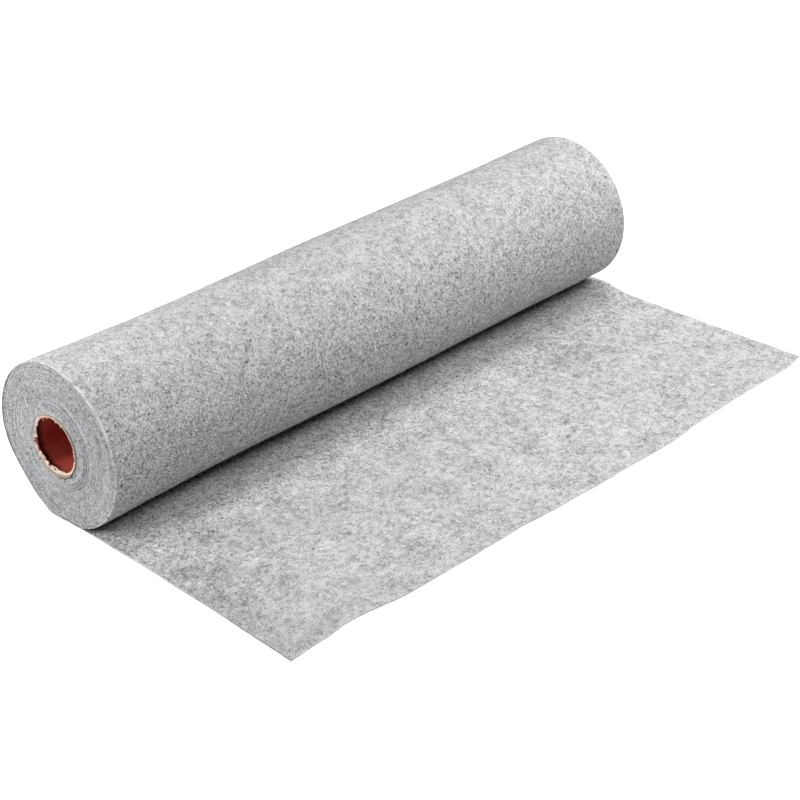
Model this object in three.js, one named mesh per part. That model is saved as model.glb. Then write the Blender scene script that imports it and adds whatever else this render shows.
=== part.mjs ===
// A roll of needle felt, wound on a paper core tube and lying on its own loose end.
// Millimetres, +Z up. The roll's axis runs along X, its near end, where the core shows, is at -X,
// and the loose end comes out from under the roll towards -Y.
// The origin is on the floor, at the middle of the whole part's box.
import * as THREE from "three";

// Driving dimensions
const FELT_WIDTH = 1000;
const FELT_THICKNESS = 2;
const ROLL_DIAMETER = 226;
const CORE_BORE = 76;
const CORE_WALL = 4;
const CORE_PROUD_NEAR = 5.5;
const CORE_PROUD_FAR = 3;
const CORE_BACK = 2.5;
const CORE_UP = 2;
const CLEARANCE = 0.3;

// How the roll has settled: how far its axis has sunk, the flat spot that its weight has pressed
// into its underside, and its rims worn round
const SUNK = 0.5;
const FLAT_SPOT = 36;
const RIM_ROUNDING = 3;

// How the loose end lies: its two sides splay outwards on the way to the front edge
const SPLAY_NEAR = 15;
const SPLAY_FAR = 7;
const SPLAY_POWER_NEAR = 2;
const SPLAY_POWER_FAR = 1.5;

// The roll's shape along its length, measured from its near end: how much its radius grows, to a
// flared end, a waist and a belly, and how far it leans back
const SWELLING = [
  { along: 0, grow: 3.2, back: 1.3 },
  { along: 100, grow: 0.6, back: 0.6 },
  { along: 180, grow: -1.1, back: 0 },
  { along: 240, grow: -1.1, back: 0 },
  { along: 520, grow: 1.3, back: 0 },
  { along: 800, grow: 0, back: 0 },
  { along: 1000, grow: 0.2, back: 0 },
];

// The front edge, cut by hand: how far it reaches out from under the roll's axis
const FRONT_EDGE = [
  { along: 0, reach: 437 },
  { along: 85, reach: 436 },
  { along: 200, reach: 441 },
  { along: 380, reach: 442 },
  { along: 610, reach: 453 },
  { along: 820, reach: 444 },
  { along: 950, reach: 443 },
  { along: 1000, reach: 438 },
];

// Places where the loose end lifts off the floor: the middle of each low hump, its height,
// and how far it spreads along the roll and outwards from it
const LIFTS = [
  { along: 40, out: 440, rise: 2.5, spreadAlong: 190, spreadOut: 90 },
  { along: 455, out: 450, rise: 2, spreadAlong: 150, spreadOut: 70 },
  { along: 1010, out: 110, rise: 1, spreadAlong: 260, spreadOut: 75 },
  { along: 1010, out: 445, rise: 1.5, spreadAlong: 160, spreadOut: 80 },
];

// Fineness of the facets
const TURN_SEGMENTS = 88;
const BORE_SEGMENTS = 48;
const CORE_SEGMENTS = 56;
const BODY_STATIONS = 10;
const RIM_STATIONS = 3;
const SHEET_SEGMENTS_ALONG = 38;
const SHEET_SEGMENTS_OUT = 17;

// Sizes that follow from the driving ones
const PITCH = FELT_THICKNESS + CLEARANCE;
const ROLL_RADIUS = ROLL_DIAMETER / 2;
const CORE_RADIUS = CORE_BORE / 2 + CORE_WALL;
const FELT_BORE_RADIUS = CORE_RADIUS + CLEARANCE;
const AXIS_HEIGHT = ROLL_RADIUS - SUNK;
const NEAR_END = -FELT_WIDTH / 2;

const feltMaterial = new THREE.MeshStandardMaterial({ color: 0xbdbdc1, roughness: 0.96, metalness: 0 });
const paperMaterial = new THREE.MeshStandardMaterial({ color: 0x8c4638, roughness: 0.85, metalness: 0 });

// Eases a column of a table from row to row, so that it changes smoothly along the roll.
function easedColumn(rows, column, along) {
  const next = rows.findIndex((row) => row.along > along);
  if (next === 0) return rows[0][column];
  if (next === -1) return rows[rows.length - 1][column];
  const from = rows[next - 1];
  const to = rows[next];
  const share = THREE.MathUtils.smoothstep(along, from.along, to.along);
  return THREE.MathUtils.lerp(from[column], to[column], share);
}

// A hump that falls from 1 at its middle to 0, with no kink, at its spread and beyond.
function hump(distance, spread) {
  const share = Math.min(Math.abs(distance) / spread, 1);
  return (1 + Math.cos(Math.PI * share)) / 2;
}

// The outline of the wound turns, one turn of a spiral. It starts on the floor under the axis, climbs
// the back, passes over the top and comes down the front, one pitch further in than it began.
function spiralOutline() {
  const points = [];
  for (let i = 0; i <= TURN_SEGMENTS; i += 1) {
    const turn = i / TURN_SEGMENTS;
    const angle = 2 * Math.PI * turn;
    const radius = ROLL_RADIUS - PITCH * turn;
    points.push(new THREE.Vector2(radius * Math.sin(angle), -radius * Math.cos(angle)));
  }
  return points;
}

// Places along the roll, from its near end, closer together over the rounded rims.
function rollStations() {
  const nearRim = [];
  for (let i = 0; i < RIM_STATIONS; i += 1) {
    const angle = (Math.PI / 2) * (i / RIM_STATIONS);
    nearRim.push(RIM_ROUNDING * (1 - Math.cos(angle)));
  }
  const body = [];
  for (let i = 0; i <= BODY_STATIONS; i += 1) {
    body.push(THREE.MathUtils.lerp(RIM_ROUNDING, FELT_WIDTH - RIM_ROUNDING, i / BODY_STATIONS));
  }
  const farRim = nearRim.map((along) => FELT_WIDTH - along).reverse();
  return [...nearRim, ...body, ...farRim];
}

// How much the roll's radius is cut back near an end by the rounding of its rims.
function rimCutBack(along) {
  const fromEnd = Math.min(along, FELT_WIDTH - along);
  const intoRim = Math.max(RIM_ROUNDING - fromEnd, 0);
  return RIM_ROUNDING - Math.sqrt(RIM_ROUNDING ** 2 - intoRim ** 2);
}

// The wound felt: the spiral section drawn out along the roll, swollen and rounded from place to
// place, with its underside pressed flat on the floor behind and on the loose end in front.
function makeWoundFelt() {
  const section = new THREE.Shape(spiralOutline());
  const bore = new THREE.Path().absarc(CORE_BACK, CORE_UP, FELT_BORE_RADIUS, 0, 2 * Math.PI, true);
  section.holes.push(new THREE.Path(bore.getSpacedPoints(BORE_SEGMENTS).slice(0, -1)));
  const stations = rollStations();
  const spans = stations.length - 1;
  const geometry = new THREE.ExtrudeGeometry(section, { depth: spans, steps: spans, bevelEnabled: false });
  const position = geometry.getAttribute("position");
  const midWall = (FELT_BORE_RADIUS + ROLL_RADIUS) / 2;
  for (let i = 0; i < position.count; i += 1) {
    const along = stations[Math.round(position.getZ(i))];
    const drawnY = position.getX(i);
    const drawnZ = position.getY(i);
    const drawnRadius = Math.hypot(drawnY, drawnZ);
    const isOutside = drawnRadius > midWall;
    const change = isOutside ? easedColumn(SWELLING, "grow", along) - rimCutBack(along) : 0;
    const stretch = (drawnRadius + change) / drawnRadius;
    const y = drawnY * stretch;
    const lean = isOutside ? easedColumn(SWELLING, "back", along) : 0;
    // The second half of the spiral, the front, is over half a pitch further in, and lies on the felt.
    const isFront = drawnRadius < ROLL_RADIUS - PITCH / 2;
    const support = (isFront ? PITCH : 0) - AXIS_HEIGHT;
    const isUnder = isOutside && drawnZ < 0 && Math.abs(y) < FLAT_SPOT / 2;
    const z = isUnder ? support : Math.max(drawnZ * stretch, support);
    position.setXYZ(i, NEAR_END + along, y + lean, z);
  }
  geometry.computeVertexNormals();
  const mesh = new THREE.Mesh(geometry, feltMaterial);
  mesh.name = "felt_roll";
  return mesh;
}

// The height of the loose end's underside above the floor.
function liftAt(along, out) {
  return LIFTS.reduce(
    (height, lift) =>
      height +
      lift.rise * hump(along - lift.along, lift.spreadAlong) * hump(out - lift.out, lift.spreadOut),
    0,
  );
}

// The loose end: one thickness of felt, from the line where the roll touches the floor to the
// hand-cut front edge, splayed at both sides and lifting a little here and there.
function makeLooseEnd() {
  const geometry = new THREE.BoxGeometry(1, 1, 1, SHEET_SEGMENTS_ALONG, SHEET_SEGMENTS_OUT, 1);
  const position = geometry.getAttribute("position");
  for (let i = 0; i < position.count; i += 1) {
    const across = position.getX(i) + 0.5;
    const outwards = 0.5 - position.getY(i);
    const isTop = position.getZ(i) > 0;
    const nearSide = -SPLAY_NEAR * outwards ** SPLAY_POWER_NEAR;
    const farSide = FELT_WIDTH + SPLAY_FAR * outwards ** SPLAY_POWER_FAR;
    const along = THREE.MathUtils.lerp(nearSide, farSide, across);
    const reach = easedColumn(FRONT_EDGE, "reach", FELT_WIDTH * across);
    const out = THREE.MathUtils.lerp(CLEARANCE, reach, outwards);
    position.setXYZ(i, NEAR_END + along, -out, liftAt(along, out) + (isTop ? FELT_THICKNESS : 0));
  }
  geometry.computeVertexNormals();
  const mesh = new THREE.Mesh(geometry, feltMaterial);
  mesh.name = "felt_loose_end";
  return mesh;
}

// The paper tube that the felt is wound on: a plain wall, a little behind and above the roll's axis.
function makeCoreTube() {
  const nearEnd = NEAR_END - CORE_PROUD_NEAR;
  const farEnd = NEAR_END + FELT_WIDTH + CORE_PROUD_FAR;
  const wall = [
    new THREE.Vector2(CORE_BORE / 2, nearEnd),
    new THREE.Vector2(CORE_RADIUS, nearEnd),
    new THREE.Vector2(CORE_RADIUS, farEnd),
    new THREE.Vector2(CORE_BORE / 2, farEnd),
    new THREE.Vector2(CORE_BORE / 2, nearEnd),
  ];
  const mesh = new THREE.Mesh(new THREE.LatheGeometry(wall, CORE_SEGMENTS), paperMaterial);
  // The wall is turned about Y, so it is laid over to bring that axis along the roll.
  mesh.rotation.z = -Math.PI / 2;
  mesh.position.set(0, CORE_BACK, CORE_UP);
  mesh.name = "core_tube";
  return mesh;
}

const rollOnItsAxis = new THREE.Group();
rollOnItsAxis.position.z = AXIS_HEIGHT;
rollOnItsAxis.add(makeWoundFelt(), makeCoreTube());

const laidOut = new THREE.Group();
laidOut.add(rollOnItsAxis, makeLooseEnd());

// Moves the whole part over the origin.
const wholeBox = new THREE.Box3().setFromObject(laidOut, true);
const wholeMiddle = wholeBox.getCenter(new THREE.Vector3());
laidOut.position.set(-wholeMiddle.x, -wholeMiddle.y, -wholeBox.min.z);

const feltRoll = new THREE.Group();
feltRoll.add(laidOut);

export default feltRoll;
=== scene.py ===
# %% [markdown]
# # A roll of grey felt on a paper core
# This lesson dresses a measured model of a felt roll. The frame loaded here holds three plain solids at
# their real size, in metres: the wound felt, its loose end, and the core tube. Each piece made below
# takes the place of one of those solids and stays where it is, so nothing has to be fitted by eye.

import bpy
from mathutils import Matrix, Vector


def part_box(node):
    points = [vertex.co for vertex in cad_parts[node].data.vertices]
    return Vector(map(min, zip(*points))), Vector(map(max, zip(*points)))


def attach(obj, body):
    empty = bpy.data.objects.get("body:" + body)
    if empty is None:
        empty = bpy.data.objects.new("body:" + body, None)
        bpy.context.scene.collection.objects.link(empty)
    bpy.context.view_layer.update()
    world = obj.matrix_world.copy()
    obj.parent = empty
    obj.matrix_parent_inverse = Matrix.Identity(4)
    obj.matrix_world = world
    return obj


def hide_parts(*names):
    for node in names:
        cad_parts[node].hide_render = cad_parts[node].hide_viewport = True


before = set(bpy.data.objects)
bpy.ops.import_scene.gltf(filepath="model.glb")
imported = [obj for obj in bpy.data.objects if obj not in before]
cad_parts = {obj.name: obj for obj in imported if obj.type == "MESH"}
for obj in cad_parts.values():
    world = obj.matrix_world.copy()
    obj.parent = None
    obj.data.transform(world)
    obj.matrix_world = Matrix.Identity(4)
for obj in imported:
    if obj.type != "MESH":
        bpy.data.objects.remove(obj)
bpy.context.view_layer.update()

# %% Tools used by every step
import math
from collections import namedtuple

import bpy
import numpy as np
from mathutils import Matrix, Vector

MM = 0.001
TAU = 2 * math.pi
print("Blender", bpy.app.version_string)

# %% [markdown]
# ## Sizes
# The roll's place comes from the frame's boxes. The felt's thickness, the number of turns and the way
# the roll has settled are driving sizes. Short tables give the uneven parts: how the roll's radius
# changes along its length, where the hand-cut front edge lies, and where the loose end lifts.
# Tables like these are quicker to read, and to change, than a list of points.

# %% Sizes and tables
roll_low, roll_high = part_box("felt_roll")
loose_low, loose_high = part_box("felt_loose_end")
core_low, core_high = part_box("core_tube")
NEAR_END = roll_low.x
FELT_WIDTH = roll_high.x - roll_low.x
FELT_THICKNESS = 2 * MM
ROLL_RADIUS = 113 * MM
SUNK = 0.5 * MM
FLAT_SPOT = 36 * MM
CLEARANCE = 0.3 * MM
AXIS_Y = loose_high.y + CLEARANCE
AXIS_Z = ROLL_RADIUS - SUNK
TURNS = 35

CORE_RADIUS = (core_high.z - core_low.z) / 2
CORE_WALL = 4 * MM
CORE_NEAR, CORE_FAR = core_low.x, core_high.x
CORE_BACK = (core_low.y + core_high.y) / 2 - AXIS_Y
CORE_UP = (core_low.z + core_high.z) / 2 - AXIS_Z
FELT_BORE = CORE_RADIUS + CLEARANCE

Swell = namedtuple("Swell", "along grow back")
SWELLING = [
    Swell(0.000, 3.2 * MM, 1.3 * MM),
    Swell(0.100, 0.6 * MM, 0.6 * MM),
    Swell(0.180, -1.1 * MM, 0.0 * MM),
    Swell(0.240, -1.1 * MM, 0.0 * MM),
    Swell(0.520, 1.3 * MM, 0.0 * MM),
    Swell(0.800, 0.0 * MM, 0.0 * MM),
    Swell(1.000, 1.5 * MM, 0.0 * MM),
]

Cut = namedtuple("Cut", "along reach")
FRONT_EDGE = [
    Cut(0.000, 0.4375),
    Cut(0.050, 0.4350),
    Cut(0.105, 0.4305),
    Cut(0.200, 0.4405),
    Cut(0.380, 0.4420),
    Cut(0.460, 0.4475),
    Cut(0.560, 0.4490),
    Cut(0.680, 0.4515),
    Cut(0.760, 0.4450),
    Cut(0.880, 0.4420),
    Cut(0.960, 0.4440),
    Cut(1.000, 0.4385),
]
SPLAY_NEAR = 17 * MM
SPLAY_FAR = 7 * MM
SPLAY_POWER_NEAR = 2.4
SPLAY_POWER_FAR = 1.5

Lift = namedtuple("Lift", "along out rise spread_along spread_out")
LIFTS = [
    Lift(0.040, 0.440, 2.5 * MM, 0.190, 0.090),
    Lift(0.455, 0.450, 2.0 * MM, 0.150, 0.070),
    Lift(1.010, 0.070, 4.0 * MM, 0.130, 0.060),
    Lift(1.010, 0.445, 0.4 * MM, 0.160, 0.080),
]


def eased(rows, column, along):
    """A table's column, eased from row to row so that it changes smoothly along the roll."""
    places = np.array([row.along for row in rows])
    values = np.array([getattr(row, column) for row in rows])
    inside = np.clip(along, places[0], places[-1])
    left = np.clip(np.searchsorted(places, inside, side="right") - 1, 0, len(places) - 2)
    share = (inside - places[left]) / (places[left + 1] - places[left])
    return values[left] + (values[left + 1] - values[left]) * share**2 * (3 - 2 * share)


def smoothstep(low, high, value):
    share = np.clip((value - low) / (high - low), 0, 1)
    return share**2 * (3 - 2 * share)


def hump(distance, spread):
    """Falls from 1 in the middle to 0 at the spread and beyond, with no kink."""
    return 0.5 + 0.5 * np.cos(math.pi * np.clip(np.abs(distance) / spread, 0, 1))


print(f"felt {FELT_WIDTH:.3f} m wide, core radius {CORE_RADIUS:.4f}")
print(f"roll's axis at y {AXIS_Y:.4f}, z {AXIS_Z:.4f}")

# %% [markdown]
# ## Unevenness that is the same each time
# Felt is never quite even. A small value noise gives smooth random lumps: it hashes the corners of a
# grid to numbers and eases between them. Blender's own noise functions work point by point, and this
# one takes whole arrays, so a hundred thousand points cost a moment.

# %% Value noise over arrays
HASH_STEPS = (127.1, 311.7, 74.7)
HASH_GAIN = 43758.5453


def corner_value(i, j, seed):
    spread = np.sin(i * HASH_STEPS[0] + j * HASH_STEPS[1] + seed * HASH_STEPS[2]) * HASH_GAIN
    return 2 * (spread - np.floor(spread)) - 1


def lumps(u, v, size, seed):
    """Smooth noise from -1 to 1, with lumps of about the given size, at places u, v."""
    gu, gv = np.broadcast_arrays(np.asarray(u) / size, np.asarray(v) / size)
    iu, iv = np.floor(gu), np.floor(gv)
    fu, fv = gu - iu, gv - iv
    fu, fv = fu**2 * (3 - 2 * fu), fv**2 * (3 - 2 * fv)
    low = corner_value(iu, iv, seed) * (1 - fu) + corner_value(iu + 1, iv, seed) * fu
    high = corner_value(iu, iv + 1, seed) * (1 - fu) + corner_value(iu + 1, iv + 1, seed) * fu
    return low * (1 - fv) + high * fv


Wander = namedtuple("Wander", "amount size seed")


def wander(kind, u, v=0):
    """Unevenness of a named amount, size of lump and seed, at places u, v."""
    return kind.amount * lumps(u, v, kind.size, kind.seed)


print(f"noise at one place: {float(lumps(0.01, 0.02, 0.005, 1)):.4f}")


# %% [markdown]
# ## The felt's path
# The real felt is one long strip. It starts at the hand-cut front edge, runs in under the roll, and
# then winds round and round to the core. One function gives the middle of the felt anywhere on that
# path, so the loose end and every turn meet exactly. A path value of -1 is the front edge, 0 is the
# line where the roll touches the floor, and each further whole number is one more turn inwards.

# %% The middle of the felt along its path
HAND_CUT_LONG = Wander(0.5 * MM, 0.024, 3)
HAND_CUT_SHORT = Wander(0.25 * MM, 0.007, 4)
RIPPLE = Wander(0.35 * MM, 0.075, 5)
RIPPLE_STARTS = (0.03, 0.09)
ROLL_LUMPS = Wander(0.3 * MM, 0.06, 6)
FLAT_SPOT_BLENDS = 1.2 * FLAT_SPOT
Rim = namedtuple("Rim", "drop length")
NEAR_RIM = Rim(0.6 * MM, 3 * MM)
FAR_RIM = Rim(0.8 * MM, 4 * MM)
# The low back of the near end has slumped: how far, where in the turn, and how far that spreads
Slump = namedtuple("Slump", "drop turn spread length")
NEAR_SLUMP = Slump(8.5 * MM, 0.13, 0.12, 0.25)


def loose_end_middle(out_share, across):
    """Loose end: out_share runs from 0 under the roll to 1 at the front edge."""
    near = -SPLAY_NEAR * out_share**SPLAY_POWER_NEAR
    far = FELT_WIDTH + SPLAY_FAR * out_share**SPLAY_POWER_FAR
    along = near + (far - near) * across
    hand_cut = wander(HAND_CUT_LONG, along) + wander(HAND_CUT_SHORT, along)
    reach = eased(FRONT_EDGE, "reach", FELT_WIDTH * across) + hand_cut
    out = reach * out_share
    height = (RIPPLE.amount + wander(RIPPLE, along, out)) * smoothstep(*RIPPLE_STARTS, out)
    for lift in LIFTS:
        height = height + lift.rise * (
            hump(along - lift.along, lift.spread_along) * hump(out - lift.out, lift.spread_out)
        )
    return along, -out, height + FELT_THICKNESS / 2 - AXIS_Z


def pressed_flat(angle, radius):
    """How far the floor moves a point of the outermost turn: up off the floor, or down onto it."""
    y, z = radius * np.sin(angle), -radius * np.cos(angle)
    floor = -AXIS_Z
    settled = floor + np.maximum(z - floor, 0) * smoothstep(FLAT_SPOT / 2, FLAT_SPOT_BLENDS, np.abs(y))
    return np.where(np.cos(angle) > 0, settled - z, 0.0)


def rounded(from_end, rim):
    """How far the felt drops as it rounds over a rim."""
    into = np.clip(1 - from_end / rim.length, 0, 1)
    return rim.drop * (1 - np.sqrt(1 - into**2))


def wound_middle(turn, across):
    """Wound felt: turn counts from the floor line inwards, over the back, the top and the front."""
    along = FELT_WIDTH * across
    angle = TAU * turn
    outer_share = 1 - turn / TURNS
    outside = ROLL_RADIUS + eased(SWELLING, "grow", along)
    outside = outside - rounded(along, NEAR_RIM) - rounded(FELT_WIDTH - along, FAR_RIM)
    low_back = hump(np.mod(turn, 1) - NEAR_SLUMP.turn, NEAR_SLUMP.spread)
    outside = outside - NEAR_SLUMP.drop * low_back * (1 - smoothstep(0, NEAR_SLUMP.length, along))
    place = np.mod(angle, TAU) * ROLL_RADIUS
    lumpy = wander(ROLL_LUMPS, along, place) * np.sin(angle / 2) ** 2 * outer_share
    radius = FELT_BORE + (outside - FELT_BORE) * outer_share - FELT_THICKNESS / 2 + lumpy
    middle_y = eased(SWELLING, "back", along) * outer_share + CORE_BACK * (1 - outer_share)
    middle_z = CORE_UP * (1 - outer_share)
    sag = pressed_flat(angle, outside) * (1 - np.clip(turn - 1, 0, None) / (TURNS - 1))
    return along, middle_y + radius * np.sin(angle), middle_z + sag - radius * np.cos(angle)


def felt_middle(path, across):
    """x, y, z of the felt's middle, from the roll's near end and axis."""
    loose = loose_end_middle(np.clip(-path, 0, 1), across)
    wound = wound_middle(np.clip(path, 0, TURNS), across)
    return [np.where(path < 0, a, b) for a, b in zip(loose, wound)]


half_way = np.array(0.5)
top_of_roll = felt_middle(half_way, half_way)
print("middle of the felt at the top of the roll:", [round(float(value), 4) for value in top_of_roll])


# %% [markdown]
# ## A strip with two faces and soft cut edges
# A sheet of felt has a top, an underside and cut edges that show. The section across the strip is a
# closed loop of columns: the top from side to side, the rounded far edge, the underside back again, and
# the rounded near edge. The cut edges swell a little, as cut felt does, so neighbouring turns touch.
# Sweeping that loop along the path gives one closed mesh. It could be a plane with a Solidify modifier,
# but then the cut edges would be sharp and their columns couldn't be placed.

# %% Build a strip
EDGE_PROFILE = [(0.05 * MM, 0.52), (0.0, 0.0), (0.05 * MM, -0.52)]
Strip = namedtuple("Strip", "points faces columns length around inset")


def section_columns(spacing, edge_insets):
    """The loop of columns: how far each is from the near side, and how high in the thickness."""
    inner = np.linspace(0, FELT_WIDTH, int(round(FELT_WIDTH / spacing)) + 1)
    clear = edge_insets[-1] + spacing / 2
    inner = inner[(inner > clear) & (inner < FELT_WIDTH - clear)]
    side = np.concatenate([edge_insets, inner, FELT_WIDTH - np.array(edge_insets[::-1])])
    far_edge = [(FELT_WIDTH - inset, through) for inset, through in EDGE_PROFILE]
    near_edge = [(inset, -through) for inset, through in EDGE_PROFILE]
    loop = [(x, 0.5) for x in side] + far_edge + [(x, -0.5) for x in side[::-1]] + near_edge
    return np.array(loop), len(side)


def build_strip(path, spacing, edge_insets, edge_offsets, thickness_at):
    """Sweeps the section along the path. edge_offsets moves the two sides in or out at each station."""
    loop, side_count = section_columns(spacing, edge_insets)
    near_offset, far_offset = edge_offsets
    across = loop[:, 0] / FELT_WIDTH
    thickness = thickness_at(loop[None, :, 0])
    x, y, z = felt_middle(path[:, None], across[None, :])
    x = x + near_offset[:, None] * (1 - across) + far_offset[:, None] * across
    ahead_y, ahead_z = np.gradient(y, axis=0), np.gradient(z, axis=0)
    step = np.hypot(ahead_y, ahead_z)
    through = loop[None, :, 1] * thickness
    y, z = y - ahead_z / step * through, z + ahead_y / step * through
    points = np.stack([NEAR_END + x, AXIS_Y + y, AXIS_Z + z], axis=-1)
    rows, columns = x.shape
    corner = np.arange(rows * columns).reshape(rows, columns)
    beside = np.roll(corner, -1, axis=1)
    faces = np.stack([corner[:-1], corner[1:], beside[1:], beside[:-1]], axis=-1).reshape(-1, 4)
    middle = points[:, side_count // 2]
    length = np.concatenate([[0], np.cumsum(np.linalg.norm(np.diff(middle, axis=0), axis=1))])
    flat = np.stack([loop[:, 0], loop[:, 1] * FELT_THICKNESS], axis=1)
    hop = np.linalg.norm(np.diff(np.vstack([flat, flat[:1]]), axis=0), axis=1)
    around = np.concatenate([[0], np.cumsum(hop)])
    inset = np.minimum(loop[:, 0], FELT_WIDTH - loop[:, 0])
    return Strip(points.reshape(-1, 3), faces, columns, length, around, inset), side_count


def end_faces(first, columns, side_count, flip):
    """Closes the strip's end: a quad between each pair of columns, and the two edges' profiles."""
    top = first + np.arange(side_count)
    last_under = 2 * side_count + len(EDGE_PROFILE) - 1
    under = first + np.arange(last_under, last_under - side_count, -1)
    made = [[top[k], top[k + 1], under[k + 1], under[k]] for k in range(side_count - 1)]
    far_edge = list(range(top[-1], under[-1] + 1))
    near_edge = [*range(under[0], first + columns), top[0]]
    made += [far_edge, near_edge]
    return [face[::-1] for face in made] if flip else made


def corner_maps(strip, bake_u, bake_v):
    """UVs for the swept faces: cloth metres, distance from the cut sides, and the bake's layout."""
    rows = len(strip.length)
    i, j = np.divmod(np.arange((rows - 1) * strip.columns), strip.columns)
    rows_of = np.stack([i, i + 1, i + 1, i], axis=1)
    columns_of = np.stack([j, j, j + 1, j + 1], axis=1)
    inset = np.concatenate([strip.inset, strip.inset[:1]])
    from_front = strip.length[rows_of]
    cloth = np.stack([from_front, strip.around[columns_of]], axis=-1)
    cut_edge = np.stack([inset[columns_of], from_front], axis=-1)
    bake = np.stack([bake_u(i[:, None], rows_of), bake_v(i[:, None], columns_of)], axis=-1)
    return {"cloth": cloth, "cut_edge": cut_edge, "OFBake": bake}


def felt_piece(name, strip, side_count, maps):
    """Makes the mesh object, closes its ends, and lays on the UV maps."""
    rows = len(strip.length)
    last = (rows - 1) * strip.columns
    caps = end_faces(0, strip.columns, side_count, False)
    caps += end_faces(last, strip.columns, side_count, True)
    mesh = bpy.data.meshes.new(name)
    mesh.from_pydata(strip.points.tolist(), [], strip.faces.tolist() + caps)
    for label, values in maps.items():
        flat = values.reshape(-1, 2)
        cap_corners = [v for face in caps for v in face]
        column = np.array(cap_corners) % strip.columns
        row = np.array(cap_corners) // strip.columns
        swept_corner = np.clip(row, 0, rows - 2) * strip.columns + column
        cap_values = values[swept_corner, np.where(row > 0, 1, 0)]
        layer = mesh.uv_layers.new(name=label)
        layer.data.foreach_set("uv", np.concatenate([flat, cap_values]).ravel())
    mesh.polygons.foreach_set("use_smooth", np.ones(len(mesh.polygons), bool))
    mesh.validate()
    piece = bpy.data.objects.new(name, mesh)
    bpy.context.scene.collection.objects.link(piece)
    triangles = sum(len(p.vertices) - 2 for p in mesh.polygons)
    print(f"{name}: {triangles} triangles, {strip.length[-1]:.3f} m of felt")
    return piece


# %% [markdown]
# ## The loose end and the outermost turn
# This is what the eye meets: the flat loose end, and the turn that wraps the whole roll. It gets a fine
# mesh, so the small unevenness of the felt is real shape. Its cut sides wander by a fraction of a
# millimetre, and its front edge is thinned to a soft round. Beside the roll its near side is tucked in,
# its far side is drawn out, and the far rim of the outermost turn has slid out a little.

# %% Make the outer felt
OUTER_SPACING = 7 * MM
OUTER_INSETS = [0.3 * MM, 1 * MM, 2 * MM, *(MM * inset for inset in np.arange(3.5, 21, 1.75))]
LOOSE_STATIONS = 76
OUTER_TURN_STATIONS = 120
FRONT_STEPS = [(0.0, 0.5), (0.25 * MM, 0.84), (0.7 * MM, 1.0)]
OUTER_END_TURN = 1.0
RIM_STANDS_OUT, RIM_GROWS = 0.5 * MM, 0.05
SIDE_WANDER, LONG_WAVE, SHORT_WAVE, SHORT_SHARE = 0.35 * MM, 0.035, 0.009, 0.6
Shift = namedtuple("Shift", "amount middle spread")
TUCKED_IN = Shift(2.0 * MM, -0.030, 0.080)
DRAWN_OUT = Shift(7.5 * MM, -0.060, 0.075)
TELESCOPED = Shift(1.2 * MM, 0.88, 0.14)

mean_reach = float(np.mean([row.reach for row in FRONT_EDGE]))
front_paths = [-1 + step / mean_reach for step, _ in FRONT_STEPS]
loose_paths = np.linspace(-1, 0, LOOSE_STATIONS + 1)[1:-1]
turn_paths = np.linspace(0, OUTER_END_TURN, OUTER_TURN_STATIONS + 1)
outer_path = np.concatenate([front_paths, loose_paths, turn_paths])
rounding = np.ones(len(outer_path))
rounding[: len(FRONT_STEPS)] = [thick for _, thick in FRONT_STEPS]
metres = np.where(outer_path < 0, outer_path * mean_reach, outer_path * TAU * ROLL_RADIUS)


def wandering(seed):
    """How far a cut side of the outer felt wanders in and out."""
    waves = lumps(metres, 0, LONG_WAVE, seed) + SHORT_SHARE * lumps(metres, 0, SHORT_WAVE, seed + 1)
    return SIDE_WANDER * waves


def shifted(shift, place):
    """How far a side is shifted around one place on it."""
    return shift.amount * hump(place - shift.middle, shift.spread)


rim = RIM_STANDS_OUT * smoothstep(0.0, RIM_GROWS, outer_path)
near_side = wandering(11) - rim + shifted(TUCKED_IN, metres)
far_side = wandering(13) + rim + shifted(TELESCOPED, outer_path) + shifted(DRAWN_OUT, metres)
outer_edges = (near_side, far_side)
outer_strip, outer_sides = build_strip(
    outer_path,
    OUTER_SPACING,
    OUTER_INSETS,
    outer_edges,
    lambda along: FELT_THICKNESS * rounding[:, None],
)
outer_maps = corner_maps(
    outer_strip,
    lambda i, rows: outer_strip.length[rows] / outer_strip.length[-1],
    lambda i, columns: outer_strip.around[columns] / outer_strip.around[-1],
)
felt_outer = felt_piece("felt_outer", outer_strip, outer_sides, outer_maps)
OUTER_LENGTH = float(outer_strip.length[-1])

# %% [markdown]
# ## The turns inside
# Only the edges of the other turns show, at the two ends of the roll, but they are what tells the eye
# that this is a wound strip and not a log. They are the same strip, wound on to the core in a true
# spiral. Each turn's edge stands in or out by a fraction of a millimetre, as a roll's ends do. Close to
# the core the turns stand out further, like a collar, and at the far end a few outer turns do too.

# %% Make the wound turns
TURN_STATIONS = 72
INNER_SPACING = 110 * MM
INNER_INSETS = [0.3 * MM, 1.5 * MM, 5 * MM, 15 * MM]
WOUND_TIGHT = 0.98
CORE_COLLAR = 3.2 * MM
COLLAR_FROM, COLLAR_FULL, COLLAR_FAR_SHARE = 0.66, 0.86, 0.4
PUSHED_OUT = Shift(4.4 * MM, 0.84, 0.20)
PUSHED_OUT_TURNS = (2, 7)
WHOLE_TURNS, WHOLE_TURNS_OVER = 0.35 * MM, 0.8
TURN_WANDER, TURN_WANDER_LENGTH = 0.2 * MM, 0.045
inner_path = np.linspace(OUTER_END_TURN, TURNS, int(TURN_STATIONS * (TURNS - OUTER_END_TURN)) + 1)
inner_metres = outer_strip.length[-1] + inner_path * TAU * ROLL_RADIUS / 2


def turn_edges(seed):
    """Edges of the turns: whole turns shift in or out together, and each wanders a little."""
    whole_turns = WHOLE_TURNS * lumps(inner_path, 0, WHOLE_TURNS_OVER, seed)
    return whole_turns + TURN_WANDER * lumps(inner_metres, 0, TURN_WANDER_LENGTH, seed + 1)


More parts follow.
